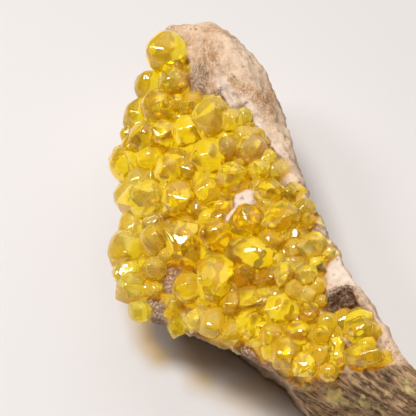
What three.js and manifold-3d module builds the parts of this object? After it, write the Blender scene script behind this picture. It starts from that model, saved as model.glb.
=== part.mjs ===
// A hand specimen of native sulfur: a wedge of marly limestone with rounded yellow crystals
// crowded over its sloping upper face. Millimetres, +Z up. The origin is on the resting facet,
// X runs along the specimen from its far tip (-X) to its near broken end (+X), and the crystal
// face slopes down from the ridge towards -Y.

import * as THREE from 'three';
import { mergeVertices } from 'three/addons/utils/BufferGeometryUtils.js';
import Module from 'manifold-3d';

const wasm = await Module();
wasm.setup();

// Driving dimensions.
const NEAR_END_X = 42;
const RIDGE_Y = 7;
const RIDGE_Z = 26;
const FACE_TILT = THREE.MathUtils.degToRad(25);
const FOOT_DEPTH = 3;
const CONTACT_GAP = 0.3;
const ROCK_GRAIN = 0.25;
const FACE_STEPS = 8;
const CRYSTAL_SIDES = 6;
// Rows below give the part of a crystal that stands free; under its neighbours it is fuller.
const FULLNESS = 1.22;
const BIG_BLOCK = 200;
// A crystal's middle stands this share of its width above its root. Roots stay within
// ROOT_REACH of the face plane, and hang at RIM_HANG where a crystal leans out past the rim.
const STANDING_SHARE = 0.36;
const ROOT_REACH = 3;
const RIM_HANG = -1.5;
const PROBE_HEIGHT = 20;
// The slot under the ledge: its size, its slant along the face and its middle (x, down, out).
const SLOT_SIZE = [2.4, 5.2, 5];
const SLOT_SLANT = THREE.MathUtils.degToRad(-28);
const SLOT_MIDDLE = [18.2, 3.2, -1.6];
// How deep the face rolls over at the rim, from its far end to the middle of the specimen.
const ROLL_FROM_X = -20;
const ROLL_TO_X = 5;
const ROLL_FAR_DEPTH = 3;
const ROLL_NEAR_DEPTH = 1;
const SMALLEST_PIECE = 1;

// The face frame: "along" is X, "down" runs from the ridge to the rim, "out" is the face normal.
const ALONG = new THREE.Vector3(1, 0, 0);
const DOWN = new THREE.Vector3(0, -Math.cos(FACE_TILT), -Math.sin(FACE_TILT));
const OUT = new THREE.Vector3(0, -Math.sin(FACE_TILT), Math.cos(FACE_TILT));

function facePoint(x, down, height) {
  return new THREE.Vector3(x, RIDGE_Y, RIDGE_Z).addScaledVector(DOWN, down).addScaledVector(OUT, height);
}

// Cross-sections of the rock. rim and ridge are distances down the face; crown lifts the ridge;
// shoulder is how far the rock bulges behind the ridge; lip is the thickness of the bare rim;
// front and back are where the foot meets the ground in Y.
const SECTIONS = [
  { x: -48.0, rim: 5.5, ridge: 1.0, crown: -7.0, shoulder: 2.5, lip: 3.0, front: 1.0, back: 5.0 },
  { x: -47.0, rim: 7.5, ridge: 0.0, crown: -3.0, shoulder: 4.5, lip: 4.0, front: -2.0, back: 8.0 },
  { x: -44.5, rim: 9.0, ridge: -0.5, crown: -0.5, shoulder: 6.0, lip: 5.0, front: -4.0, back: 10.5 },
  { x: -40.0, rim: 12.0, ridge: -1.0, crown: 1.0, shoulder: 7.2, lip: 5.5, front: -6.0, back: 12.5 },
  { x: -35.0, rim: 16.5, ridge: -1.0, crown: 1.6, shoulder: 8.2, lip: 5.5, front: -7.5, back: 13.5 },
  { x: -30.0, rim: 22.0, ridge: -1.0, crown: 1.8, shoulder: 8.6, lip: 5.0, front: -9.0, back: 14.0 },
  { x: -25.0, rim: 24.5, ridge: -0.8, crown: 1.4, shoulder: 8.2, lip: 4.5, front: -10.0, back: 13.5 },
  { x: -20.0, rim: 26.0, ridge: -0.5, crown: 0.6, shoulder: 7.0, lip: 4.0, front: -10.5, back: 12.5 },
  { x: -15.0, rim: 28.0, ridge: -0.5, crown: 0.2, shoulder: 5.0, lip: 3.5, front: -11.0, back: 11.0 },
  { x: -10.0, rim: 30.0, ridge: -0.5, crown: 0.0, shoulder: 3.6, lip: 3.2, front: -11.0, back: 10.0 },
  { x: -5.0, rim: 31.5, ridge: -0.5, crown: 0.0, shoulder: 2.2, lip: 3.0, front: -10.5, back: 9.0 },
  { x: 0.0, rim: 30.5, ridge: -0.3, crown: 0.0, shoulder: 1.2, lip: 2.4, front: -8.5, back: 8.0 },
  { x: 4.0, rim: 27.2, ridge: -0.3, crown: -0.2, shoulder: 0.9, lip: 2.0, front: -6.0, back: 7.8 },
  { x: 8.0, rim: 24.4, ridge: -0.3, crown: -0.2, shoulder: 0.9, lip: 1.8, front: -4.0, back: 7.8 },
  { x: 12.0, rim: 21.8, ridge: -0.2, crown: 0.0, shoulder: 0.9, lip: 1.8, front: -2.5, back: 7.8 },
  { x: 16.0, rim: 19.3, ridge: -0.2, crown: 0.0, shoulder: 1.1, lip: 1.8, front: -1.5, back: 8.0 },
  { x: 20.0, rim: 16.9, ridge: -0.2, crown: -0.2, shoulder: 1.7, lip: 2.0, front: -1.0, back: 8.3 },
  { x: 24.0, rim: 15.2, ridge: -0.2, crown: -0.4, shoulder: 2.0, lip: 2.4, front: -1.0, back: 8.5 },
  { x: 29.0, rim: 15.0, ridge: -0.2, crown: -0.6, shoulder: 2.0, lip: 3.0, front: -1.5, back: 8.6 },
  { x: 35.0, rim: 14.0, ridge: -0.2, crown: -1.0, shoulder: 2.2, lip: 4.0, front: -2.0, back: 8.6 },
  { x: 41.0, rim: 13.0, ridge: -0.2, crown: -2.0, shoulder: 2.4, lip: 5.0, front: -2.0, back: 8.5 },
  { x: 46.0, rim: 11.0, ridge: 0.0, crown: -4.0, shoulder: 2.4, lip: 5.0, front: -2.0, back: 8.0 },
];

// Rises and hollows of the face: place, reach along and down the face, and height.
const RELIEF = [
  { x: -34, down: -1, reach: [8, 4.5], height: 1.6 },
  { x: -33.5, down: 4.5, reach: [2.2, 2], height: -1.1 },
  { x: -23, down: 0.5, reach: [2.4, 2], height: 1.2 },
  { x: -8, down: 6.5, reach: [4, 1.8], height: -0.9 },
  { x: -3.5, down: 24, reach: [2.6, 3], height: -1.4 },
  { x: 4.5, down: 1.2, reach: [1.8, 2.2], height: -1.6 },
  { x: 13.5, down: 2, reach: [3.2, 4], height: 0.9 },
  { x: 20.5, down: 3, reach: [2.4, 3.6], height: -2.0 },
];

function relief(x, down) {
  let height = 0;
  for (const bump of RELIEF) {
    const away = Math.hypot((x - bump.x) / bump.reach[0], (down - bump.down) / bump.reach[1]);
    height += bump.height * Math.exp(-away * away);
  }
  return height;
}

// The face rolls over towards the rim, most along the far half where crystals hang over the side.
function rollOver(x, share) {
  const along = THREE.MathUtils.clamp((x - ROLL_FROM_X) / (ROLL_TO_X - ROLL_FROM_X), 0, 1);
  const depth = THREE.MathUtils.lerp(ROLL_FAR_DEPTH, ROLL_NEAR_DEPTH, along);
  return -depth * Math.pow(share, 6);
}

function rockSection(section) {
  const points = [];
  for (let step = 0; step <= FACE_STEPS; step += 1) {
    const share = 1 - step / FACE_STEPS;
    const down = THREE.MathUtils.lerp(section.ridge, section.rim, share);
    const crown = section.crown * Math.pow(1 - share, 3);
    const height = crown + relief(section.x, down) + rollOver(section.x, share);
    points.push(facePoint(section.x, down, height));
  }
  const rim = points[0];
  const ridge = points[FACE_STEPS];
  const bulge = section.shoulder;
  const back = (reach, height) => new THREE.Vector3(section.x, ridge.y + bulge * reach, height);
  points.push(back(0.45, ridge.z - bulge * 0.1 - 0.1));
  points.push(back(0.82, ridge.z - bulge * 0.42 - 0.5));
  points.push(back(1.0, ridge.z - bulge * 0.9 - 1.5));
  points.push(back(1.02, ridge.z * 0.45));
  points.push(back(0.85, ridge.z * 0.16));
  points.push(new THREE.Vector3(section.x, section.back, -FOOT_DEPTH));
  points.push(new THREE.Vector3(section.x, section.front, -FOOT_DEPTH));
  const under = (reach, height) => {
    return new THREE.Vector3(section.x, THREE.MathUtils.lerp(section.front, rim.y, reach), height);
  };
  const underside = rim.z - section.lip;
  points.push(under(0.15, underside * 0.3));
  points.push(under(0.5, underside * 0.68));
  points.push(under(0.92, underside));
  return points;
}

// Knobbly surface: a fixed mixture of waves, the same at every run.
function roughen(point) {
  const { x, y, z } = point;
  const plan = Math.sin(0.83 * x + 1.9 * y) + Math.sin(1.37 * y - 0.9 * z + 2);
  const wave = plan + Math.sin(1.1 * z + 0.61 * x + 4);
  const cross = Math.cos(1.21 * x - 0.7 * y) + Math.cos(0.9 * y + 1.3 * z + 1);
  return point.clone().add(new THREE.Vector3(0.5 * cross, 0.7 * wave, 0.4 * wave).multiplyScalar(ROCK_GRAIN));
}

// Joins neighbouring rings of points into a closed skin with a fan over each end.
function skin(rings) {
  const count = rings[0].length;
  const points = rings.flat();
  const faces = [];
  for (let ring = 0; ring < rings.length - 1; ring += 1) {
    for (let step = 0; step < count; step += 1) {
      const here = ring * count + step;
      const next = ring * count + (step + 1) % count;
      faces.push([here, next + count, next], [here, here + count, next + count]);
    }
  }
  const capEnd = (first, outward) => {
    const centre = new THREE.Vector3();
    for (let step = 0; step < count; step += 1) centre.addScaledVector(points[first + step], 1 / count);
    points.push(centre);
    for (let step = 0; step < count; step += 1) {
      const pair = [first + step, first + (step + 1) % count];
      faces.push(outward ? [pair[0], pair[1], points.length - 1] : [pair[1], pair[0], points.length - 1]);
    }
  };
  capEnd(0, true);
  capEnd((rings.length - 1) * count, false);
  const geometry = new THREE.BufferGeometry();
  const positions = new Float32Array(points.flatMap((point) => point.toArray()));
  geometry.setAttribute('position', new THREE.BufferAttribute(positions, 3));
  geometry.setIndex(faces.flat());
  return geometry;
}

function toSolid(geometry) {
  const bare = geometry.clone();
  bare.deleteAttribute('normal');
  bare.deleteAttribute('uv');
  const merged = mergeVertices(bare, 1e-4);
  const vertProperties = new Float32Array(merged.attributes.position.array);
  const triVerts = new Uint32Array(merged.index.array);
  return new wasm.Manifold(new wasm.Mesh({ numProp: 3, vertProperties, triVerts }));
}

function toGeometry(solid) {
  const mesh = solid.getMesh();
  const geometry = new THREE.BufferGeometry();
  geometry.setAttribute('position', new THREE.BufferAttribute(mesh.vertProperties, 3));
  geometry.setIndex(new THREE.BufferAttribute(mesh.triVerts, 1));
  geometry.computeVertexNormals();
  return geometry;
}

// A block whose near side lies in the plane through a point, reaching away along a direction.
function blockBeyond(point, direction) {
  const block = new THREE.BoxGeometry(BIG_BLOCK, BIG_BLOCK, BIG_BLOCK);
  block.translate(0, 0, BIG_BLOCK / 2);
  const up = new THREE.Vector3(0, 0, 1);
  block.applyQuaternion(new THREE.Quaternion().setFromUnitVectors(up, direction.clone().normalize()));
  block.translate(point.x, point.y, point.z);
  return toSolid(block);
}

// The near end is broken off: a shallow fracture under the last crystals, a steep one below it,
// and a plain end.
const NEAR_BREAK = [
  { through: facePoint(22.6, 14.6, 0), facing: [0.53, -0.63, 0.56] },
  { through: facePoint(22.8, 14.8, 0), facing: [0.68, -0.73, 0.05] },
  { through: new THREE.Vector3(NEAR_END_X, RIDGE_Y, RIDGE_Z / 2), facing: [0.96, 0.1, 0.26] },
];

// The rock: lofted sections, a flat resting facet, the broken near face and the slot under the ledge.
function buildRock() {
  let rock = toSolid(skin(SECTIONS.map((section) => rockSection(section).map(roughen))));
  rock = rock.subtract(blockBeyond(new THREE.Vector3(0, 0, 0), new THREE.Vector3(0, 0, -1)));
  for (const cut of NEAR_BREAK) {
    rock = rock.subtract(blockBeyond(cut.through, new THREE.Vector3(...cut.facing)));
  }
  const slot = new THREE.BoxGeometry(...SLOT_SIZE);
  slot.rotateY(SLOT_SLANT);
  slot.rotateX(FACE_TILT);
  const slotPlace = facePoint(...SLOT_MIDDLE);
  slot.translate(slotPlace.x, slotPlace.y, slotPlace.z);
  return rock.subtract(toSolid(slot));
}

const rock = buildRock();
const rockGeometry = toGeometry(rock);

// The rock pushed out by the contact gap, so that crystals cut by it stand just clear.
const rockClearance = rock
  .add(rock.translate(OUT.clone().multiplyScalar(CONTACT_GAP).toArray()))
  .add(rock.translate([0, -CONTACT_GAP, 0]));

// Crystals by place. Each row is x, distance down the face, width, length, the direction of the
// long axis in the face (degrees from +X towards the rim) and how steeply it stands up (degrees).
const CRYSTALS = {
  tip_crystal: [[-41.5, 6.5, 5.2, 6.2, 30, 35]],
  buried_tip_crystal: [[-38.8, 3.2, 2.4, 3.6, 20, 15]],
  upper_rim_crystals: [
    [-38.6, 11.4, 2.9, 3.0, 0, 60], [-37.6, 14, 4.0, 4.4, 40, 40], [-34.6, 16.8, 3.6, 4.8, 10, 20],
    [-33.6, 18.8, 2.8, 3.2, 60, 20],
  ],
  upper_pair_crystals: [
    [-35.2, 7.6, 4.2, 5.8, 25, 30], [-32.5, 12, 4.4, 5.4, 20, 35], [-29, 7.2, 3.4, 4.4, 40, 30],
    [-31, 9.2, 2.6, 3.2, 0, 50],
  ],
  left_shoulder_crystals: [
    [-27.5, 22, 4.4, 6.0, -10, 20], [-31, 23, 3.8, 4.6, 50, 30], [-29.6, 19.6, 3.2, 3.8, 0, 40],
    [-28.5, 16.5, 4.4, 4.8, 20, 50],
    [-26.8, 13.4, 3.8, 4.4, 40, 40], [-24.5, 10, 4.0, 4.8, 10, 40], [-25, 17.8, 3.2, 3.6, 0, 40],
  ],
  ridge_top_crystals: [
    [-23.5, 5.5, 5.0, 5.8, 20, 35], [-21, 3, 4.0, 4.2, -30, 40], [-26.4, 4.6, 2.6, 3.2, 10, 30],
    [-17.6, 2.6, 2.8, 3.4, 10, 30],
  ],
  upper_ridge_crystals: [
    [-17, 5.5, 3.4, 4.0, 0, 50], [-14, 2.6, 4.0, 4.8, 10, 35], [-10.4, 3.0, 3.0, 3.2, -20, 40],
    [-11.6, 1.0, 2.2, 2.4, 0, 30],
  ],
  centre_crystals: [
    [-17.5, 9, 4.6, 5.8, 20, 40], [-12, 7.6, 4.6, 5.8, -60, 30], [-18.6, 12.2, 2.8, 4.6, 35, 30],
    [-12.2, 12, 3.6, 3.8, 0, 45], [-9, 10, 2.7, 3.4, -50, 30], [-14.8, 11.2, 3.0, 3.2, 0, 50],
  ],
  middle_left_crystals: [
    [-20, 15.5, 4.0, 5.4, 30, 35], [-14, 16.5, 4.6, 5.8, 25, 35], [-17.2, 18, 3.0, 3.4, 0, 40],
    [-10.6, 14.8, 2.6, 3.0, 10, 50],
  ],
  left_flank_crystals: [
    [-23.2, 21.2, 3.0, 3.6, 10, 30], [-21, 19.4, 2.8, 3.0, 0, 40], [-18, 22, 5.2, 6.8, -60, 25],
    [-21.4, 23.8, 4.2, 5.2, 0, 20], [-15.8, 25.6, 3.8, 5.0, 20, 20],
  ],
  left_rim_crystals: [
    [-12.6, 28.2, 4.8, 6.2, 30, 20], [-10, 23.5, 4.6, 5.2, 0, 40], [-7.4, 22.8, 2.6, 3.4, 30, 30],
    [-8.8, 29.9, 3.8, 4.6, 20, 20], [-13.2, 22.4, 3.0, 3.4, 0, 40],
  ],
  big_faceted_crystal: [[-6, 18.8, 5.4, 6.4, 30, 45]],
  round_crystal: [[-3.8, 14.2, 4.4, 4.8, 10, 50], [-6.9, 12.6, 2.6, 3.0, 0, 40]],
  greenish_crystal: [[-2.8, 8.8, 4.5, 4.6, 0, 45]],
  ridge_crystals: [
    [-5.2, 3.6, 3.4, 4.0, -60, 30], [-3.4, 5.0, 3.0, 3.6, 0, 40], [0, 4, 4.0, 5.6, -60, 20],
    [3, 4.4, 2.0, 3.2, -50, 20],
  ],
  ridge_shelf_crystal: [[2.2, 0.6, 2.3, 2.6, 20, 30]],
  shelf_block_crystals: [
    [7.5, 2, 4.2, 5.2, -55, 30], [9.6, 0.6, 2.0, 2.8, -40, 20], [5.6, 4.6, 2.4, 2.8, 0, 40],
  ],
  lying_crystals: [[2.4, 11, 4.0, 6.8, -35, 10], [2.6, 7.4, 3.2, 3.4, 0, 50]],
  lower_left_rim_crystals: [
    [-5.6, 30.3, 3.8, 4.8, 30, 20], [-6, 25.6, 3.6, 4.0, 10, 40], [-1.4, 31, 3.4, 4.4, -30, 10],
    [-2.6, 27, 2.4, 2.6, 0, 40],
  ],
  lower_left_crystal: [[1.5, 22, 4.6, 4.8, 20, 45]],
  long_drop_crystal: [[3, 17.4, 5.0, 7.6, 30, 25]],
  dark_prism_crystals: [[5.2, 13.6, 3.0, 3.8, -50, 30], [7.4, 10.4, 2.6, 3.6, -60, 15]],
  pale_ledge_crystals: [
    [9, 7.8, 2.8, 4.2, 30, 30], [11.6, 5, 3.0, 3.6, -60, 30], [12.2, 7.8, 2.4, 2.8, 0, 40],
    [14.2, 6.4, 2.2, 2.6, 20, 40],
  ],
  angular_corner_crystals: [[3, 26.4, 2.6, 3.0, 0, 30], [5.4, 26.8, 2.8, 3.2, 40, 30]],
  lower_edge_crystals: [[6.8, 23.4, 3.3, 4.4, 20, 35], [8.9, 21.2, 3.2, 4.2, 30, 30]],
  lower_middle_crystals: [
    [12.2, 19.4, 3.2, 4.8, 20, 30], [8.2, 17, 2.8, 3.6, 30, 40], [13, 16.5, 3.2, 3.4, 0, 45],
    [10.2, 14, 3.0, 5.6, -55, 15], [13.6, 11.2, 3.4, 4.2, 20, 35], [16.8, 14.2, 3.0, 3.2, 0, 40],
    [16.2, 16.6, 2.2, 2.8, -40, 30],
  ],
  slot_side_crystals: [[17.2, 7.8, 2.8, 3.4, -60, 20]],
  slot_floor_crystals: [
    [20.8, 4.2, 2.2, 2.4, 0, 40], [21.6, 1.9, 2.2, 3.6, -60, 20], [23.6, 2.6, 2.8, 4.0, -60, 25],
  ],
  lower_right_crystals: [
    [19, 10.6, 3.0, 3.6, 10, 40], [21.5, 8, 2.6, 3.2, -60, 30], [24, 6.4, 2.4, 2.6, 0, 40],
    [24, 9.4, 2.6, 3.0, -60, 30], [21.6, 14.2, 4.2, 5.2, 30, 30], [24, 12, 3.0, 3.8, 10, 40],
    [26.8, 9.6, 2.2, 2.4, -30, 30],
  ],
  near_ridge_crystal: [[28, 4, 2.4, 5.2, -55, 10]],
};

// One crystal before it is placed: a blunt double pyramid about the Z axis, one unit in radius.
function crystalBlank() {
  const profile = [[0, -1], [0.8, -0.62], [1, 0.05], [0.72, 0.68], [0, 1]];
  const outline = profile.map(([radius, height]) => new THREE.Vector2(radius, height));
  return new THREE.LatheGeometry(outline, CRYSTAL_SIDES).rotateX(Math.PI / 2);
}

const rockMesh = new THREE.Mesh(rockGeometry);
const probe = new THREE.Raycaster();

// The rock's surface straight below a place on the face; past the rim, the place itself.
function rootOn(x, down) {
  probe.set(facePoint(x, down, PROBE_HEIGHT), OUT.clone().negate());
  const hit = probe.intersectObject(rockMesh)[0];
  if (!hit) return facePoint(x, down, RIM_HANG);
  return facePoint(x, down, THREE.MathUtils.clamp(PROBE_HEIGHT - hit.distance, -ROOT_REACH, ROOT_REACH));
}

function placeCrystal([x, down, width, length, turn, stand], spare) {
  const turnAngle = THREE.MathUtils.degToRad(turn);
  const standAngle = THREE.MathUtils.degToRad(stand);
  const axis = ALONG.clone().multiplyScalar(Math.cos(turnAngle)).addScaledVector(DOWN, Math.sin(turnAngle));
  axis.multiplyScalar(Math.cos(standAngle)).addScaledVector(OUT, Math.sin(standAngle));
  const centre = rootOn(x, down).addScaledVector(OUT, STANDING_SHARE * width);
  const fullWidth = FULLNESS * width;
  const fullLength = FULLNESS * length;
  const matrix = new THREE.Matrix4().compose(
    centre,
    new THREE.Quaternion().setFromUnitVectors(new THREE.Vector3(0, 0, 1), axis),
    new THREE.Vector3(fullWidth / 2 + spare, fullWidth / 2 + spare, fullLength / 2 + spare),
  );
  return toSolid(crystalBlank().applyMatrix4(matrix));
}

function joinAll(solids) {
  return solids.reduce((whole, solid) => whole.add(solid));
}

// Each group is trimmed by the rock and by the groups before it, so neighbours meet along a
// narrow seam. Crystals of one group that don't touch become solids of their own.
const SULFUR_COLOUR = 0xe8b90c;
const ROCK_COLOUR = 0xc9a685;
const specimen = new THREE.Group();

function addPiece(name, geometry, colour, roughness) {
  const material = new THREE.MeshStandardMaterial({ color: colour, roughness, metalness: 0 });
  const mesh = new THREE.Mesh(geometry, material);
  mesh.name = name;
  specimen.add(mesh);
}

addPiece('matrix_rock', rockGeometry, ROCK_COLOUR, 0.95);
let taken = rockClearance;
for (const [name, rows] of Object.entries(CRYSTALS)) {
  const group = joinAll(rows.map((row) => placeCrystal(row, 0))).subtract(taken);
  const bodies = group.decompose().filter((body) => body.volume() > SMALLEST_PIECE);
  bodies.forEach((body, index) => {
    addPiece(bodies.length > 1 ? `${name}_${index + 1}` : name, toGeometry(body), SULFUR_COLOUR, 0.12);
  });
  taken = taken.add(joinAll(rows.map((row) => placeCrystal(row, CONTACT_GAP))));
}

export default specimen;
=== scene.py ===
"""A hand specimen of native sulfur: glassy yellow crystals crowded on a wedge of marly limestone."""
import math
import random

import bpy
from mathutils import Matrix, Vector, noise
from mathutils.bvhtree import BVHTree
from mathutils.kdtree import KDTree


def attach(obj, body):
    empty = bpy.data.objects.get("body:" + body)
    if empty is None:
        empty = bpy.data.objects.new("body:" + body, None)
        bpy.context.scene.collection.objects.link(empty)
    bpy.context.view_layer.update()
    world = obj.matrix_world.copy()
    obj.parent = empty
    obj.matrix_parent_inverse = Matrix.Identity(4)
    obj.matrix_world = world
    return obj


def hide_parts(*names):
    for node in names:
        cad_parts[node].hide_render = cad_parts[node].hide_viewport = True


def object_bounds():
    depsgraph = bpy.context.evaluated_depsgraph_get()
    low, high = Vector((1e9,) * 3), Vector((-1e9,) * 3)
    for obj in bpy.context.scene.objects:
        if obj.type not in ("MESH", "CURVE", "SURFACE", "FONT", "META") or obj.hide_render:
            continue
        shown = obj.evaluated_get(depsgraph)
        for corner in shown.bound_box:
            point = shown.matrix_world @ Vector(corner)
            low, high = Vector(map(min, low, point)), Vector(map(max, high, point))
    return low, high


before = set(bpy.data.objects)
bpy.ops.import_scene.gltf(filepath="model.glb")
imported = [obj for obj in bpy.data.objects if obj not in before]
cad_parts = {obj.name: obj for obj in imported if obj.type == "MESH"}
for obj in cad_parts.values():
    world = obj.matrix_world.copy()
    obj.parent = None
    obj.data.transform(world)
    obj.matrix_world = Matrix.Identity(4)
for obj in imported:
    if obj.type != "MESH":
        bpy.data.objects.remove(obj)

cad_low, cad_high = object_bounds()
MM = 0.001

# ---------------------------------------------------------------------------------------------
# The view. A long lens looks down on the crystal face, from beyond the near broken end and to
# the side that the face slopes to. It looks at a point a little off the middle of the part's box.
view_turn = math.radians(67)
view_height = math.radians(50)
view_distance = 277.3 * MM
view_ahead = Vector((
    -math.sin(view_turn) * math.cos(view_height),
    math.cos(view_turn) * math.cos(view_height),
    -math.sin(view_height),
))
view_right = Vector((math.cos(view_turn), math.sin(view_turn), 0))
view_level = Vector((-math.sin(view_turn), math.cos(view_turn), 0))
middle = (cad_low + cad_high) / 2
look_at = middle + Vector((-7.3, -1.4, 5.6)) * MM

camera_data = bpy.data.cameras.new("view")
camera_data.lens = 150
camera_data.sensor_width = 36
camera_data.clip_start = 10 * MM
camera = bpy.data.objects.new("view", camera_data)
camera.location = look_at - view_ahead * view_distance
camera.rotation_euler = view_ahead.to_track_quat("-Z", "Y").to_euler()
bpy.context.scene.collection.objects.link(camera)
bpy.context.scene.camera = camera

# ---------------------------------------------------------------------------------------------
# The table and the light. The specimen lies loose on a pale, matt sheet of paper in a white room,
# brighter on the far side. A square softbox hangs overhead to the left, a weaker window is lower
# on the same side, and a strip light stands by the camera.
LIGHT_DISTANCE = 0.6
ROOM_DARKEST = 0.012
ROOM_BRIGHTEST = 0.95
PAPER_SIZE = 3
PAPER_DROP = 0.05 * MM


def hex_colour(code):
    """An sRGB hex value as the linear RGBA that Blender works in."""
    channels = [int(code[start:start + 2], 16) / 255 for start in (0, 2, 4)]
    linear = [c / 12.92 if c <= 0.04045 else ((c + 0.055) / 1.055) ** 2.4 for c in channels]
    return (*linear, 1)


def add_node(tree, kind, inputs=None, **settings):
    """Adds a node with its settings, and sets or links its inputs: a socket is linked, a value is set."""
    made = tree.nodes.new("ShaderNode" + kind)
    for name, value in settings.items():
        setattr(made, name, value)
    for name, value in (inputs or {}).items():
        if isinstance(value, bpy.types.NodeSocket):
            tree.links.new(value, made.inputs[name])
        else:
            made.inputs[name].default_value = value
    return made


def new_material(name):
    material = bpy.data.materials.new(name)
    material.use_nodes = True
    material.node_tree.nodes.clear()
    return material, material.node_tree


def deselect_all():
    bpy.ops.object.select_all(action="DESELECT")


world = bpy.data.worlds.new("white_room")
world.use_nodes = True
tree = world.node_tree
tree.nodes.clear()
direction = add_node(tree, "TexCoord")
bright_side = (view_level * 0.7 + view_right * 0.3 + Vector((0, 0, 0.6))).normalized()
facing = add_node(tree, "VectorMath", {0: direction.outputs["Generated"], 1: bright_side},
                  operation="DOT_PRODUCT")
level = add_node(tree, "MapRange", {
    "Value": facing.outputs["Value"], "From Min": 0.6, "From Max": 0.95,
    "To Min": ROOM_DARKEST, "To Max": ROOM_BRIGHTEST,
}, interpolation_type="SMOOTHSTEP")
tint = add_node(tree, "Mix", {
    "Factor": level.outputs[0], 6: hex_colour("a87850"), 7: hex_colour("fdfbf9"),
}, data_type="RGBA")
room = add_node(tree, "Background", {"Color": tint.outputs[2], "Strength": level.outputs[0]})
add_node(tree, "OutputWorld", {"Surface": room.outputs[0]})
bpy.context.scene.world = world
bpy.context.scene.view_settings.view_transform = "Standard"
bpy.context.scene.cycles.max_bounces = 24
bpy.context.scene.cycles.glossy_bounces = 16
bpy.context.scene.cycles.transmission_bounces = 20
bpy.context.scene.cycles.transparent_max_bounces = 24


def add_area_light(name, toward, size, power):
    """An area light that faces the specimen, in a direction seen from it."""
    data = bpy.data.lights.new(name, "AREA")
    data.shape = "RECTANGLE"
    data.size, data.size_y = size
    data.energy = power
    light = bpy.data.objects.new(name, data)
    light.location = middle + toward.normalized() * LIGHT_DISTANCE
    light.rotation_euler = (-toward).to_track_quat("-Z", "Y").to_euler()
    bpy.context.scene.collection.objects.link(light)


up = Vector((0, 0, 1))
add_area_light("softbox", -view_right * 0.26 + view_level * 0.02 + up, (0.17, 0.17), 3.1)
add_area_light("window", -view_right * 0.63 + view_level * 0.09 + up * 0.77, (0.15, 0.15), 0.8)
add_area_light("strip_light", view_right * 0.18 - view_level * 0.58 + up * 0.8, (0.02, 0.3), 0.1)

deselect_all()
bpy.ops.mesh.primitive_plane_add(size=PAPER_SIZE, location=(0, 0, -PAPER_DROP))
floor = bpy.context.object
floor.name = "floor"
# Uncoated paper, pressed flat and plain: the eye gets an even, pale, slightly warm ground with
# no shine, which takes the soft shadow.
floor_material, tree = new_material("pale_paper")
paper = add_node(tree, "BsdfPrincipled", {"Base Color": hex_colour("dfdbd9"), "Roughness": 0.9})
add_node(tree, "OutputMaterial", {"Surface": paper.outputs[0]})
floor.data.materials.append(floor_material)

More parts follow.
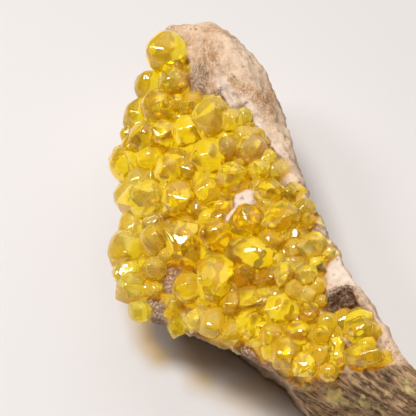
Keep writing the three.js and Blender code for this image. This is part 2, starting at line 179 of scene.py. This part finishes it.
# ---------------------------------------------------------------------------------------------
# The crystals by place. Each row is x, distance down the face, width, length (millimetres), the
# direction of the long axis in the face, how steeply it stands (degrees), and its habit.
CRYSTALS = {
    "tip_crystal": [(-41.5, 6.5, 5.2, 6.2, 30, 35, "egg")],
    "buried_tip_crystal": [(-38.6, 7.0, 2.6, 3.2, 20, 30, "egg")],
    "upper_rim_crystals": [
        (-38.6, 12.0, 4.3, 4.8, 0, 60, "egg"), (-35.4, 15.8, 4.4, 5.0, 40, 40, "egg"),
        (-34.6, 16.8, 3.6, 4.8, 10, 20, "egg"), (-33.6, 18.8, 2.8, 3.2, 60, 20, "egg"),
    ],
    "upper_pair_crystals": [
        (-35.0, 8.0, 4.6, 5.8, 25, 30, "blunt"), (-32.6, 12.2, 4.6, 5.4, 20, 35, "egg"),
        (-29, 7.2, 3.4, 4.4, 40, 30, "egg"), (-31, 9.2, 2.6, 3.2, 0, 50, "block"),
    ],
    "left_shoulder_crystals": [
        (-27.5, 22, 4.4, 6.0, -10, 20, "egg"), (-29.8, 22.0, 3.6, 4.4, 50, 30, "blunt"),
        (-29.6, 19.6, 3.2, 3.8, 0, 40, "egg"), (-28.5, 16.5, 4.4, 4.8, 20, 50, "egg"),
        (-26.8, 13.4, 3.8, 4.4, 40, 40, "block"), (-24.5, 10, 4.0, 4.8, 10, 40, "egg"),
        (-25, 17.8, 3.2, 3.6, 0, 40, "blunt"),
    ],
    "ridge_top_crystals": [
        (-23.5, 5.5, 5.0, 5.8, 20, 35, "blunt"), (-21, 3, 4.0, 4.2, -30, 40, "block"),
        (-26.4, 4.6, 2.6, 3.2, 10, 30, "egg"), (-17.6, 2.6, 2.8, 3.4, 10, 30, "blunt"),
    ],
    "upper_ridge_crystals": [
        (-17, 5.5, 3.4, 4.0, 0, 50, "block"), (-14, 2.6, 4.0, 4.8, 10, 35, "blunt"),
        (-10.4, 3.0, 3.0, 3.2, -20, 40, "block"), (-11.6, 1.0, 2.2, 2.4, 0, 30, "blunt"),
    ],
    "centre_crystals": [
        (-17.5, 9, 4.6, 5.8, 20, 40, "egg"), (-12, 7.6, 4.6, 5.8, -60, 30, "blunt"),
        (-18.6, 12.2, 2.8, 4.6, 35, 30, "egg"), (-12.2, 12, 3.6, 3.8, 0, 45, "egg"),
        (-10.0, 10.6, 2.2, 2.8, -50, 30, "block"), (-14.8, 11.2, 3.0, 3.2, 0, 50, "egg"),
    ],
    "middle_left_crystals": [
        (-20, 15.5, 4.0, 5.4, 30, 35, "egg"), (-14, 16.5, 4.6, 5.8, 25, 35, "blunt"),
        (-17.2, 18, 3.0, 3.4, 0, 40, "block"), (-10.6, 14.8, 2.6, 3.0, 10, 50, "blunt"),
    ],
    "left_flank_crystals": [
        (-23.2, 21.2, 3.0, 3.6, 10, 30, "egg"), (-21, 19.4, 2.8, 3.0, 0, 40, "block"),
        (-18, 22, 5.2, 6.8, -60, 25, "blunt"), (-21.4, 23.8, 4.2, 5.2, 0, 20, "egg"),
        (-15.8, 25.6, 3.8, 5.0, 20, 20, "egg"),
    ],
    "left_rim_crystals": [
        (-12.6, 28.2, 4.8, 6.2, 30, 20, "egg"), (-10, 23.5, 4.6, 5.2, 0, 40, "egg"),
        (-7.4, 22.8, 2.6, 3.4, 30, 30, "egg"), (-8.8, 29.9, 3.8, 4.6, 20, 20, "blunt"),
        (-13.2, 22.4, 3.0, 3.4, 0, 40, "blunt"),
    ],
    "big_faceted_crystal": [(-6, 18.8, 5.4, 6.4, 30, 45, "faceted")],
    "round_crystal": [(-3.8, 14.2, 4.4, 4.8, 10, 50, "egg"), (-6.9, 12.6, 2.6, 3.0, 0, 40, "blunt")],
    "greenish_crystal": [(-2.8, 8.8, 4.5, 4.6, 0, 45, "block")],
    "ridge_crystals": [
        (-5.2, 3.6, 3.4, 4.0, -60, 30, "blunt"), (-3.4, 5.0, 3.0, 3.6, 0, 40, "block"),
        (0, 4, 4.0, 5.6, -60, 20, "faceted"), (3, 4.4, 2.0, 3.2, -50, 20, "prism"),
    ],
    "ridge_shelf_crystal": [(2.2, 0.6, 2.3, 2.6, 20, 30, "block")],
    "shelf_block_crystals": [
        (7.5, 2, 4.2, 5.2, -55, 30, "faceted"), (9.6, 0.6, 2.0, 2.8, -40, 20, "block"),
        (5.6, 4.6, 2.4, 2.8, 0, 40, "blunt"),
    ],
    "lying_crystals": [(2.4, 11, 4.0, 6.8, -35, 10, "egg"), (2.6, 7.4, 3.2, 3.4, 0, 50, "blunt")],
    "lower_left_rim_crystals": [
        (-5.6, 30.3, 3.8, 4.8, 30, 20, "blunt"), (-6, 25.6, 3.6, 4.0, 10, 40, "egg"),
        (-1.4, 31, 3.4, 4.4, -30, 10, "blunt"), (-2.6, 27, 2.4, 2.6, 0, 40, "block"),
    ],
    "lower_left_crystal": [(1.5, 22, 4.6, 4.8, 20, 45, "egg")],
    "long_drop_crystal": [(3, 17.4, 5.0, 7.6, 30, 25, "faceted")],
    "dark_prism_crystals": [
        (5.2, 13.6, 3.0, 3.8, -50, 30, "prism"), (7.4, 10.4, 2.6, 3.6, -60, 15, "prism"),
    ],
    "pale_ledge_crystals": [
        (9, 7.8, 2.8, 4.2, 30, 30, "blunt"), (11.6, 5, 3.0, 3.6, -60, 30, "block"),
        (12.2, 7.8, 2.4, 2.8, 0, 40, "blunt"), (14.2, 6.4, 2.2, 2.6, 20, 40, "block"),
    ],
    "angular_corner_crystals": [
        (3, 26.4, 2.6, 3.0, 0, 30, "faceted"), (5.4, 26.8, 2.8, 3.2, 40, 30, "faceted"),
    ],
    "lower_edge_crystals": [(6.8, 23.4, 3.3, 4.4, 20, 35, "blunt"), (8.9, 21.2, 3.2, 4.2, 30, 30, "egg")],
    "lower_middle_crystals": [
        (12.2, 19.4, 3.2, 4.8, 20, 30, "egg"), (8.2, 17, 2.8, 3.6, 30, 40, "egg"),
        (13, 16.5, 3.2, 3.4, 0, 45, "blunt"), (10.2, 14, 3.0, 5.6, -55, 15, "prism"),
        (13.6, 11.2, 3.4, 4.2, 20, 35, "blunt"), (16.8, 14.2, 3.0, 3.2, 0, 40, "egg"),
        (16.2, 16.6, 2.2, 2.8, -40, 30, "block"),
    ],
    "slot_side_crystals": [(17.2, 7.8, 2.8, 3.4, -60, 20, "blunt")],
    "slot_floor_crystals": [
        (19.6, 3.8, 2.8, 3.2, 0, 40, "blunt"), (21.6, 1.9, 2.2, 3.6, -60, 20, "egg"),
        (23.6, 2.6, 2.8, 4.0, -60, 25, "blunt"),
    ],
    "lower_right_crystals": [
        (19, 10.6, 3.0, 3.6, 10, 40, "egg"), (21.5, 8, 2.6, 3.2, -60, 30, "blunt"),
        (24, 6.4, 2.4, 2.6, 0, 40, "block"), (24, 9.4, 2.6, 3.0, -60, 30, "blunt"),
        (20.6, 13.4, 3.6, 4.6, 30, 30, "egg"), (24, 12, 3.0, 3.8, 10, 40, "blunt"),
        (26.8, 9.6, 2.2, 2.4, -30, 30, "egg"),
    ],
    "near_ridge_crystal": [(28, 4, 2.4, 5.2, -55, 10, "egg")],
}
# Places on the face where the rock shows: x, distance down the face, reach along and down it, and
# its tone there, from -1 for dark brown to 1 for pinkish white. The darkest, at x 16.6 by the slot
# under the ledge, is painted shade in that recess.
BARE_PLACES = [
    (-8.2, 7.6, 2.4, 1.8, 0.9), (-6.0, 10.8, 1.1, 1.7, 0.9), (-33.4, 4.0, 2.9, 2.2, -0.7),
    (-3.6, 24.2, 3.0, 2.0, -0.6), (-0.3, 28.8, 2.6, 1.8, -0.9), (4.3, 0.6, 1.8, 1.3, -0.7),
    (13.4, 0.2, 3.2, 2.4, 0.8), (16.6, 2.4, 1.3, 2.6, -1.0), (23.4, 5.2, 0.7, 0.6, 0.3),
    (6.9, 11.8, 0.6, 0.5, 0.2), (-27.0, 1.2, 3.6, 1.3, 0.8), (-20.5, -0.6, 4.0, 0.9, 0.7),
    (-13.5, -1.2, 3.0, 0.8, 0.5), (8.7, 25.6, 3.0, 1.6, -0.9), (17.0, 19.6, 4.0, 1.4, -0.8),
    (-39.2, 2.2, 2.6, 1.8, 0.1),
    (-44.2, 3.4, 2.0, 1.5, 0.1),
]
# The near end is a fresh break. It starts at this x on the ridge, and further back down the face.
BREAK_AT_RIDGE = 31.6
BREAK_SLANT = 0.49
RIDGE = Vector((0, 7, 26)) * MM
FACE_TILT = math.radians(25)
FACE_DOWN = Vector((0, -math.cos(FACE_TILT), -math.sin(FACE_TILT)))
FACE_OUT = Vector((0, -math.sin(FACE_TILT), math.cos(FACE_TILT)))
FULLNESS = 1.32
TIGHT_FULLNESS = 1.08
PROBE_HEIGHT = 20 * MM

cad_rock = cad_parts["matrix_rock"]
rock_surface = BVHTree.FromObject(cad_rock, bpy.context.evaluated_depsgraph_get())


def face_point(x, down, height=0.0):
    """A place on the crystal face: millimetres along the ridge, down the face and out of it."""
    return Vector((x * MM, 0, 0)) + RIDGE + FACE_DOWN * (down * MM) + FACE_OUT * (height * MM)


def rock_height(x, down):
    """How far the rock stands out of the face plane at a place, or None past its rim."""
    hit = rock_surface.ray_cast(face_point(x, down) + FACE_OUT * PROBE_HEIGHT, -FACE_OUT)
    return None if hit[0] is None else (PROBE_HEIGHT - hit[3]) / MM


def bare_place(x, down):
    """The nearest bare place: how far it is, with its edge at 1, and its tone."""
    return min((math.hypot((x - bx) / rx, (down - bd) / rd), tone) for bx, bd, rx, rd, tone in BARE_PLACES)


def past_break(x, down):
    """How many millimetres a place lies past the edge of the near break."""
    return x - (BREAK_AT_RIDGE - BREAK_SLANT * max(0.0, down))


def crystal_frame(x, down, width, length, turn, stand, roll):
    """Where a crystal sits: its root on the rock, its long axis turned and stood up, and its size."""
    height = rock_height(x, down)
    height = -1.5 if height is None else max(-3.0, min(3.0, height))
    turned = Vector((1, 0, 0)) * math.cos(math.radians(turn)) + FACE_DOWN * math.sin(math.radians(turn))
    axis = turned * math.cos(math.radians(stand)) + FACE_OUT * math.sin(math.radians(stand))
    centre = face_point(x, down, height) + FACE_OUT * (0.36 * width * MM)
    fullness = FULLNESS if bare_place(x, down)[0] > 2.2 else TIGHT_FULLNESS
    size = Vector((width, width, length)) * (fullness * MM / 2)
    spin = Matrix.Rotation(roll, 4, "Z")
    placed = Matrix.LocRotScale(centre, axis.to_track_quat("Z", "X"), None)
    return placed @ spin @ Matrix.Diagonal((*size, 1))


# ---------------------------------------------------------------------------------------------
# The matrix rock: one lump of tan, marly limestone, broken from an outcrop. Its skin is dull,
# granular and pitted, and sunk and stained yellow where the crystals grew fast to it.
# Heights below are in millimetres out of the face plane.
ROCK_VOXEL = 0.36 * MM
ROOT_DEPTH = 1.3 * MM
SWELL = 0.9 * MM
UNDERSIDE_START = -4.0
FACE_EDGE = -6.0
UNDERSIDE_SHADE = 0.8
deselect_all()
rock_mesh = cad_rock.data.copy()
rock = bpy.data.objects.new("limestone_matrix", rock_mesh)
bpy.context.scene.collection.objects.link(rock)
bpy.context.view_layer.objects.active = rock
rock.select_set(True)
bpy.ops.object.mode_set(mode="EDIT")
bpy.ops.mesh.select_all(action="SELECT")
bpy.ops.mesh.remove_doubles(threshold=0.001 * MM)
bpy.ops.object.mode_set(mode="OBJECT")


def apply_modifier(piece, kind, **settings):
    """Adds a modifier to a piece, sets it and applies it."""
    bpy.context.view_layer.objects.active = piece
    modifier = piece.modifiers.new("shape", kind)
    for name, value in settings.items():
        setattr(modifier, name, value)
    bpy.ops.object.modifier_apply(modifier=modifier.name)


def share(value):
    """A value kept between 0 and 1."""
    return max(0.0, min(1.0, value))


def grain_texture(name, kind, size_mm, **settings):
    """A procedural displacement pattern whose lumps are about size_mm across."""
    texture = bpy.data.textures.new(name, kind)
    texture.noise_scale = size_mm * MM
    for setting, value in settings.items():
        setattr(texture, setting, value)
    return texture


apply_modifier(rock, "REMESH", mode="VOXEL", voxel_size=ROCK_VOXEL)
apply_modifier(rock, "SMOOTH", factor=0.6, iterations=6)
roots = [(row[0], row[1], row[2]) for rows in CRYSTALS.values() for row in rows]
root_tree = KDTree(len(roots))
for index, (x, down, width) in enumerate(roots):
    root_tree.insert(face_point(x, down), index)
root_tree.balance()
stain_layer = rock.data.attributes.new("sulfur_stain", "FLOAT", "POINT")
root_layer = rock.data.attributes.new("root_depth", "FLOAT", "POINT")
tone_and_shade_layer = rock.data.attributes.new("rock_tone_and_shade", "FLOAT", "POINT")
break_shade_layer = rock.data.attributes.new("break_and_painted_shade", "FLOAT", "POINT")
layers = zip(rock.data.vertices, stain_layer.data, root_layer.data, tone_and_shade_layer.data, break_shade_layer.data)
for vertex, stain, root, tone, fresh in layers:
    offset = vertex.co - RIDGE
    out = offset.dot(FACE_OUT) / MM
    x, down = vertex.co.x / MM, offset.dot(FACE_DOWN) / MM
    _, index, distance = root_tree.find(face_point(x, down))
    distance = math.hypot(distance / MM, max(0.0, UNDERSIDE_START - out))
    width = roots[index][2]
    wobble = noise.noise(vertex.co / (1.3 * MM))
    covered = share(1.4 - (distance - 0.62 * width + wobble * 0.9) / 1.0)
    reach, bare_tone_and_shade = bare_place(x, down)
    on_face = share((out - FACE_EDGE) / 2.5)
    bare = on_face * share(2.6 - 2 * reach)
    broken = share(0.5 + past_break(x, down) / 1.2 + wobble * 0.8)
    # Painted shade: on the rim side the rock's underside is darkened towards dark brown, as it hangs in
    # shade over the paper.
    rim_side = share(-vertex.co.y / (6 * MM))
    underside_shade = rim_side * share((UNDERSIDE_START - out + wobble) / 2.5)
    covered *= on_face * (1 - bare) * (1 - broken) * (1 - underside_shade)
    fresh.value = broken
    tone.value = bare * bare_tone_and_shade - underside_shade * UNDERSIDE_SHADE
    stain.value = covered
    root.value = covered * share(1.3 - distance / (0.75 * width))
    swell = bare * SWELL if bare_tone_and_shade > 0.85 else 0.0
    vertex.co += FACE_OUT * (swell - covered * ROOT_DEPTH)
lumps = grain_texture("lumps", "CLOUDS", 5.0, noise_depth=2)
knobs = grain_texture("knobs", "CLOUDS", 1.6, noise_depth=3)
grit = grain_texture("grit", "CLOUDS", 0.6, noise_depth=1, noise_type="SOFT_NOISE")
apply_modifier(rock, "DISPLACE", texture=lumps, strength=1.0 * MM, mid_level=0.5)
apply_modifier(rock, "DISPLACE", texture=knobs, strength=0.85 * MM, mid_level=0.5)
apply_modifier(rock, "DISPLACE", texture=grit, strength=0.3 * MM, mid_level=0.5)

# Weathered marl: tan and buff patches 7 mm across, dark specks and pale grains under 2 mm give
# the eye a dull, sandy skin. The fresh break is streaked, so it reads as torn, not worn, and is
# painted dark brown, partly its own colour and partly painted shade on a face turned from the light.
# The crust is pale yellow right under a crystal and amber brown round its foot, the brown partly
# stain and partly painted shade in the gaps between crystals.
rock_material, tree = new_material("marly_limestone")
place = add_node(tree, "TexCoord")


def rock_noise(size_mm, detail, roughness):
    """A noise pattern in the rock whose patches are about size_mm across."""
    return add_node(tree, "TexNoise", {
        "Vector": place.outputs["Object"], "Scale": 1 / (size_mm * MM), "Detail": detail,
        "Roughness": roughness,
    })


patches = rock_noise(7, 6.0, 0.62)
tone = add_node(tree, "ValToRGB", {"Fac": patches.outputs["Fac"]})
tone.color_ramp.elements[0].position = 0.36
tone.color_ramp.elements[0].color = hex_colour("b98655")
tone.color_ramp.elements[1].position = 0.6
tone.color_ramp.elements[1].color = hex_colour("ecccac")


def blend(factor, first, second):
    """Mixes two colours, each a hex value or a socket, by a factor."""
    colours = [hex_colour(one) if isinstance(one, str) else one for one in (first, second)]
    mixed = add_node(tree, "Mix", {"Factor": factor, 6: colours[0], 7: colours[1]}, data_type="RGBA")
    return mixed.outputs[2]


def ramp(value, low, high, to_low=0.0, to_high=1.0):
    """A value stretched so that low to high becomes to_low to to_high, and clamped."""
    stretched = add_node(tree, "MapRange", {
        "Value": value, "From Min": low, "From Max": high, "To Min": to_low, "To Max": to_high,
    })
    return stretched.outputs[0]


fine = rock_noise(0.35, 4.0, 0.7)
specks = rock_noise(1.6, 8.0, 0.7)
streak_place = add_node(tree, "Mapping", {
    "Vector": place.outputs["Object"], "Rotation": (math.radians(-12), 0, math.radians(-58)),
    "Scale": (0.6 * MM, 5 * MM, 0.6 * MM),
}, vector_type="TEXTURE")
streaks = add_node(tree, "TexNoise", {"Vector": streak_place.outputs[0], "Scale": 1.0, "Detail": 4.0,
                                      "Roughness": 0.65})
rock_tone_and_shade = add_node(tree, "Attribute", attribute_name="rock_tone_and_shade").outputs["Fac"]
fresh = add_node(tree, "Attribute", attribute_name="break_and_painted_shade").outputs["Fac"]
stain = add_node(tree, "Attribute", attribute_name="sulfur_stain").outputs["Fac"]
root = add_node(tree, "Attribute", attribute_name="root_depth").outputs["Fac"]
toned = blend(ramp(rock_tone_and_shade, 0.1, 0.9, 0, 0.75), tone.outputs["Color"], "f6e2d2")
# Negative tones darken to dark brown: dark bare rock, plus painted shade on the underside and in the slot
# under the ledge.
toned = blend(ramp(rock_tone_and_shade, -0.1, -0.9, 0, 0.8), toned, "6b4629")
weathered = blend(ramp(specks.outputs["Fac"], 0.55, 0.65, 0, 0.75), toned, "7a5232")
weathered = blend(ramp(fine.outputs["Fac"], 0.5, 0.58, 0, 0.6), weathered, "f5e0c4")
crumbs = rock_noise(5, 5.0, 0.7)
# Painted shade: the break's dark browns also stand for the shade on a face turned from the light.
broken = blend(ramp(streaks.outputs["Fac"], 0.4, 0.6), "5e4229", "c9a378")
broken = blend(ramp(crumbs.outputs["Fac"], 0.42, 0.34, 0, 0.7), broken, "4a3420")
broken = blend(ramp(crumbs.outputs["Fac"], 0.55, 0.62, 0, 0.75), broken, "e6cf86")
plain = blend(fresh, weathered, broken)
# Painted shade: the amber brown round each crystal's foot also darkens the gaps between crystals.
crust_and_gap_shade = blend(ramp(root, 0.1, 0.7), "b58a2a", "fff2b0")
skin_colour = blend(stain, plain, crust_and_gap_shade)
grain = blend(fresh, fine.outputs["Color"], streaks.outputs["Color"])
bump = add_node(tree, "Bump", {"Height": grain, "Strength": 0.9, "Distance": 0.3 * MM})
body = add_node(tree, "BsdfPrincipled", {"Base Color": skin_colour, "Roughness": 0.92,
                                         "Normal": bump.outputs[0]})
add_node(tree, "OutputMaterial", {"Surface": body.outputs[0]})
rock.data.materials.clear()
rock.data.materials.append(rock_material)

deselect_all()
bpy.context.view_layer.objects.active = rock
bpy.ops.object.mode_set(mode="EDIT")
bpy.ops.mesh.select_all(action="SELECT")
bpy.ops.mesh.bisect(plane_co=(0, 0, 0), plane_no=(0, 0, 1), use_fill=True, clear_inner=True)
bpy.ops.object.mode_set(mode="OBJECT")
rock.data.shade_smooth()
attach(rock, "root")
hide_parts("matrix_rock")

# ---------------------------------------------------------------------------------------------
# The sulfur crystals: blunt double pyramids of native sulfur, rounded where they were partly
# dissolved again, and grown fast to the rock and to each other. Each habit is cut once from a
# block and smoothed. A group is joined to one solid and cut along its seams.
SULFUR_IOR = 1.65       # lower than real sulfur's, which is about 2.0
SEAM = 0.02 * MM
ROOT_SINK = 0.9 * MM    # how much deeper the small crystals sit
SMOOTH_ANGLE = math.radians(35)


def habit(name, faces, block, bevel, levels):
    """Cuts a block by pairs of (direction, distance), bevels its edges and rounds it."""
    deselect_all()
    bpy.ops.mesh.primitive_cube_add(size=block)
    shape = bpy.context.object
    shape.name = name
    bpy.ops.object.mode_set(mode="EDIT")
    for direction, distance in faces:
        normal = Vector(direction).normalized()
        bpy.ops.mesh.select_all(action="SELECT")
        bpy.ops.mesh.bisect(plane_co=normal * distance, plane_no=normal, use_fill=True, clear_outer=True)
    bpy.ops.mesh.select_all(action="SELECT")
    bpy.ops.mesh.remove_doubles(threshold=0.02)
    if bevel:
        bpy.ops.mesh.bevel(offset=bevel, segments=1, affect="EDGES")
    bpy.ops.object.mode_set(mode="OBJECT")
    apply_modifier(shape, "SUBSURF", levels=levels, render_levels=levels)
    shape.dimensions = (2, 2, 2)
    bpy.ops.object.transform_apply(location=False, rotation=False, scale=True)
    return shape


def pyramid(lean, distance, flatness=0.8):
    """The eight faces of a double pyramid: lean is how much they tip towards the ends."""
    signs = [(a, b, c) for a in (1, -1) for b in (1, -1) for c in (1, -1)]
    return [((a, b * flatness, c * lean), distance) for a, b, c in signs]


ENDS = [((0, 0, 1), 0.92), ((0, 0, -1), 0.92)]
habits = {
    "egg": habit("egg", pyramid(0.8, 0.94) + ENDS, 1.9, 0.2, 2),
    "blunt": habit("blunt", pyramid(0.7, 0.88) + pyramid(2.2, 0.92), 1.9, 0.1, 2),
    "block": habit("block", pyramid(0.5, 0.84) + pyramid(1.6, 0.88) + ENDS, 1.9, 0.07, 2),
    "faceted": habit("faceted", pyramid(0.55, 0.82) + pyramid(1.7, 0.88), 1.9, 0.045, 2),
    "small_blunt": habit("small_blunt", pyramid(0.75, 0.88) + ENDS, 1.9, 0.1, 1),
    "small_egg": habit("small_egg", pyramid(0.8, 0.98), 1.9, 0.0, 2),
    "small_block": habit("small_block", pyramid(0.55, 0.82) + pyramid(1.7, 0.88), 1.9, 0.06, 1),
    "prism": habit("prism", pyramid(0.15, 0.8) + pyramid(1.2, 0.92), 1.9, 0.05, 2),
}
ripple = grain_texture("ripple", "CLOUDS", 1.3, noise_depth=1)


def grow(shape, place, name):
    """A copy of a habit with its own mesh, put in its place and given a slightly uneven skin."""
    crystal = shape.copy()
    crystal.data = shape.data.copy()
    crystal.name = name
    crystal.data.transform(place)
    bpy.context.scene.collection.objects.link(crystal)
    apply_modifier(crystal, "DISPLACE", texture=ripple, strength=0.14 * MM, mid_level=0.5)
    return crystal


def sulfur(name, body_colour, zone_colour, glow, density, clear):
    """Native sulfur: a see-through yellow crystal, zoned, with a glossy, slightly uneven face."""
    material, tree = new_material(name)
    place = add_node(tree, "TexCoord").outputs["Object"]
    zones = add_node(tree, "TexNoise", {"Vector": place, "Scale": 1 / (4 * MM), "Detail": 2.0})
    zone = add_node(tree, "MapRange", {"Value": zones.outputs["Fac"], "From Min": 0.35, "From Max": 0.65})
    colour = add_node(tree, "Mix", {
        "Factor": zone.outputs[0], 6: hex_colour(body_colour), 7: hex_colour(zone_colour),
    }, data_type="RGBA")
    haze = add_node(tree, "TexNoise", {"Vector": place, "Scale": 1 / (1.2 * MM), "Detail": 4.0})
    gloss = add_node(tree, "MapRange", {
        "Value": haze.outputs["Fac"], "From Min": 0.5, "From Max": 0.75, "To Min": 0.01, "To Max": 0.2,
    })
    steps = add_node(tree, "TexVoronoi", {"Vector": place, "Scale": 1 / (1.6 * MM)})
    relief = add_node(tree, "Math", {0: steps.outputs["Distance"], 1: haze.outputs["Fac"]}, operation="ADD")
    skin = add_node(tree, "Bump", {"Height": relief.outputs[0], "Strength": 0.25, "Distance": 0.12 * MM})
    body = add_node(tree, "BsdfPrincipled", {
        "Base Color": colour.outputs[2], "Roughness": gloss.outputs[0], "IOR": SULFUR_IOR,
        "Specular IOR Level": 1.0, "Transmission Weight": clear, "Normal": skin.outputs[0],
    })
    depth = add_node(tree, "VolumeAbsorption", {"Color": hex_colour(glow), "Density": density})
    # Shadow and diffuse rays pass straight through, tinted, so that the crust below is lit.
    rays = add_node(tree, "LightPath")
    soft_rays = add_node(tree, "Math", {
        0: rays.outputs["Is Shadow Ray"], 1: rays.outputs["Is Diffuse Ray"],
    }, operation="MAXIMUM")
    side = add_node(tree, "NewGeometry")
    let_through = add_node(tree, "Mix", {
        "Factor": side.outputs["Backfacing"], 6: hex_colour("d2b060"), 7: hex_colour("fff7c8"),
    }, data_type="RGBA")
    through = add_node(tree, "BsdfTransparent", {"Color": let_through.outputs[2]})
    lit = add_node(tree, "MixShader", {0: soft_rays.outputs[0], 1: body.outputs[0], 2: through.outputs[0]})
    add_node(tree, "OutputMaterial", {"Surface": lit.outputs[0], "Volume": depth.outputs[0]})
    return material


# The eye sees a wet-looking yellow body with bright highlights. The zones shift it from lemon
# to gold, the haze dulls parts of some faces, and thick crystals look deeper than thin edges.
# Milky crystals let less through and look paler, partly a frosted skin and partly painted
# reflection of the lights; deep ones let more through.
clear_sulfur = sulfur("clear_native_sulfur", "fff070", "ffe840", "fcf800", 320, 0.82)
milky_and_sheen_sulfur = sulfur("milky_sulfur_and_painted_sheen", "fff290", "ffea50", "fcf800", 320, 0.74)
deep_sulfur = sulfur("deep_native_sulfur", "fff06a", "fbe040", "fcf600", 340, 0.9)
MILKY_AND_SHEEN_GROUPS = [
    "ridge_top_crystals", "upper_ridge_crystals", "left_flank_crystals", "left_rim_crystals",
    "lower_left_rim_crystals", "pale_ledge_crystals", "shelf_block_crystals", "lower_edge_crystals",
]
DEEP_GROUPS = ["greenish_crystal", "dark_prism_crystals", "slot_side_crystals", "round_crystal"]
shades = dict.fromkeys(MILKY_AND_SHEEN_GROUPS, milky_and_sheen_sulfur) | dict.fromkeys(DEEP_GROUPS, deep_sulfur)

# Small crystals fill the gaps. Each row is a size in millimetres and how many places are tried.
random.seed(7)
SMALL_SIZES = [(2.6, 500), (2.1, 700), (1.6, 800), (1.2, 700)]
SMALL_HABITS = ["small_blunt", "small_egg", "small_block"]
field = [(x, down, width, group) for group, rows in CRYSTALS.items() for x, down, width, *_ in rows]
small_rows = []
for size, tries in SMALL_SIZES:
    for _ in range(tries):
        x, down = random.uniform(-44, 30), random.uniform(0, 33)
        turn, stand, roll = random.uniform(-90, 90), random.uniform(20, 75), random.uniform(0, math.tau)
        kind, stretch = random.choice(SMALL_HABITS), random.uniform(1.0, 1.4)
        nearest = min(field, key=lambda big: math.hypot(big[0] - x, big[1] - down) - big[2] / 2)
        edge = math.hypot(nearest[0] - x, nearest[1] - down) - nearest[2] / 2
        if not 0.02 * size < edge < 0.35 + size * 0.6 or bare_place(x, down)[0] < 1.15:
            continue
        if past_break(x, down) > -0.5 * size:
            continue
        if min(rock_height(x, down) or -9, rock_height(x, down + 2.2) or -9) < -2.5:
            continue
        if any(math.hypot(row[0] - x, row[1] - down) < 0.40 * (row[2] + size) for _, row, *_ in small_rows):
            continue
        small_rows.append((nearest[3], (x, down, size, size * stretch, turn, stand), kind, roll))


def join(whole, others, operation):
    """Joins other solids to one, or cuts them away from it, all in one go."""
    if not others:
        return
    tools = bpy.data.collections.new("tools")
    for other in others:
        tools.objects.link(other)
    apply_modifier(whole, "BOOLEAN", operation=operation, solver="MANIFOLD", operand_type="COLLECTION",
                   collection=tools)
    bpy.data.collections.remove(tools)


def near(one, other):
    """Whether the boxes round two pieces meet."""
    boxes = [[Vector(corner) for corner in piece.bound_box] for piece in (one, other)]
    lows = [Vector(map(min, *box)) for box in boxes]
    highs = [Vector(map(max, *box)) for box in boxes]
    return all(lows[0][k] < highs[1][k] and lows[1][k] < highs[0][k] for k in range(3))


wholes = []
for group, rows in CRYSTALS.items():
    parts = []
    for number, (x, down, width, length, turn, stand, kind) in enumerate(rows):
        place = crystal_frame(x, down, width, length, turn, stand, random.uniform(0, math.tau))
        parts.append(grow(habits[kind], place, f"{group}_{number}"))
    for owner, row, kind, roll in small_rows:
        if owner == group:
            place = Matrix.Translation(FACE_OUT * -ROOT_SINK) @ crystal_frame(*row, roll)
            parts.append(grow(habits[kind], place, f"{group}_small"))
    cluster = parts[0]
    cluster.name = group
    join(cluster, parts[1:], "UNION")
    for part in parts[1:]:
        bpy.data.objects.remove(part)
    whole = cluster.copy()
    whole.data = cluster.data.copy()
    bpy.context.scene.collection.objects.link(whole)
    join(cluster, [other for other in wholes if near(cluster, other)], "DIFFERENCE")
    wholes.append(whole)
    apply_modifier(cluster, "DISPLACE", strength=-SEAM, mid_level=0)
    cluster.data.materials.clear()
    cluster.data.materials.append(shades.get(group, clear_sulfur))
    deselect_all()
    cluster.select_set(True)
    bpy.context.view_layer.objects.active = cluster
    bpy.ops.object.shade_smooth_by_angle(angle=SMOOTH_ANGLE)
    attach(cluster, "root")
    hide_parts(*[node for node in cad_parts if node.startswith(group)])
for whole in wholes:
    bpy.data.objects.remove(whole)

for shape in habits.values():
    bpy.data.objects.remove(shape)
